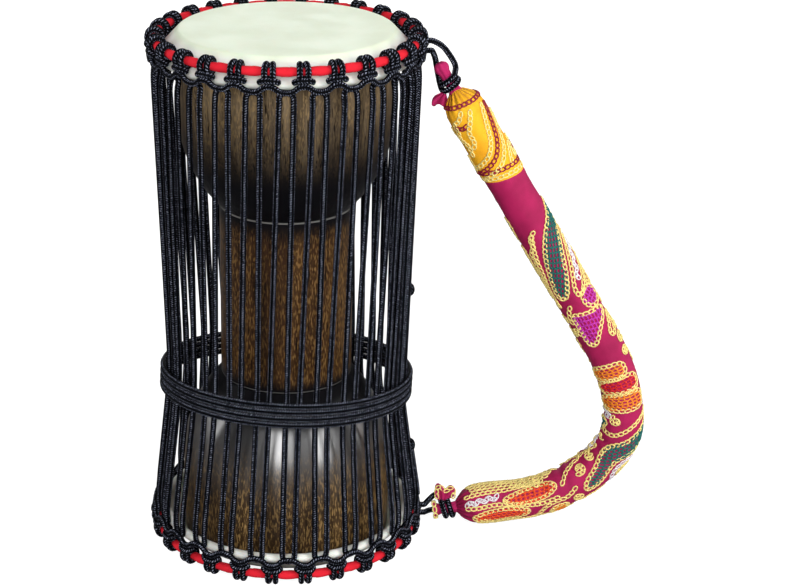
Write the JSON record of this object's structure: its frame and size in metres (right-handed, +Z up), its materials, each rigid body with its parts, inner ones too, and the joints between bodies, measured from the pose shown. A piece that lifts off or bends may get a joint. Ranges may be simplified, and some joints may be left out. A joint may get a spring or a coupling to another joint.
{
  "type": "talking drum",
  "caption": "Hourglass hand drum with laced skin heads on wrapped rings, squeezable tension cords, a sliding cord belt and a stuffed shoulder strap.",
  "frame": {"origin": "on the drum's axis at the plane it stands on, level with the lower head", "axes": "+Z up along the drum's axis to the upper head, +X to the strap, -Y to the front of the picture"},
  "size_m": [0.3847, 0.2138, 0.4023],
  "materials": {
    "lacquered_wood": "dark brown turned hardwood under gloss lacquer",
    "head_skin": "thin pale rawhide, matt",
    "ring_steel": "plain round steel rod",
    "red_cloth": "bright red cotton cloth wound round the rings",
    "black_cord": "braided black cord with a slight sheen",
    "embroidered_cotton": "crimson cotton with chain stitch embroidery in yellow, teal, purple, orange and white",
    "stuffing": "cotton stuffing"
  },
  "bodies": {
    "drum": {"upper_bowl": "lacquered_wood", "neck_tube": "lacquered_wood", "lower_bowl": "lacquered_wood", "upper_head": "head_skin", "lower_head": "head_skin", "upper_flesh_hoop": "ring_steel", "lower_flesh_hoop": "ring_steel", "upper_crown_ring": "ring_steel", "lower_crown_ring": "ring_steel", "upper_ring_wrap": "red_cloth", "lower_ring_wrap": "red_cloth", "upper_cradle": "black_cord", "lower_cradle": "black_cord", "left_cords": "black_cord", "right_cords": "black_cord", "upper_lacing_knot": "black_cord", "lower_lacing_knot": "black_cord", "lacing_tail": "black_cord"},
    "front_lacing": {"front_cords": "black_cord"},
    "back_lacing": {"back_cords": "black_cord"},
    "belt": {"tuning_belt": "black_cord"},
    "strap": {"strap_cover": "embroidered_cotton", "strap_filling": "stuffing", "upper_strap_tie": "black_cord", "lower_strap_tie": "black_cord", "upper_strap_ruffle": "embroidered_cotton", "lower_strap_ruffle": "embroidered_cotton"}
  },
  "joints": [
    {"name": "belt_slide", "type": "slide", "parent": "drum", "child": "belt", "axis": [0, 0, 1], "range_m": [-0.034, 0.05], "deforming": ["left_cords", "right_cords"]},
    {"name": "front_squeeze", "type": "slide", "parent": "drum", "child": "front_lacing", "axis": [0, 1, 0], "range_m": [0, 0.012], "stiffness_N_per_m": 600, "deforming": ["front_cords"]},
    {"name": "back_squeeze", "type": "slide", "parent": "drum", "child": "back_lacing", "axis": [0, -1, 0], "range_m": [0, 0.012], "stiffness_N_per_m": 600, "deforming": ["back_cords"]},
    {"name": "strap_swing", "type": "hinge", "parent": "drum", "child": "strap", "pos_m": [0.1096, 0, 0.0069], "axis": [-0.0103, 0, 0.9999], "range_deg": [-65, 40]}
  ],
  "couplings": [
    {"joint": "back_squeeze", "follows": "front_squeeze", "ratio": 1}
  ]
}
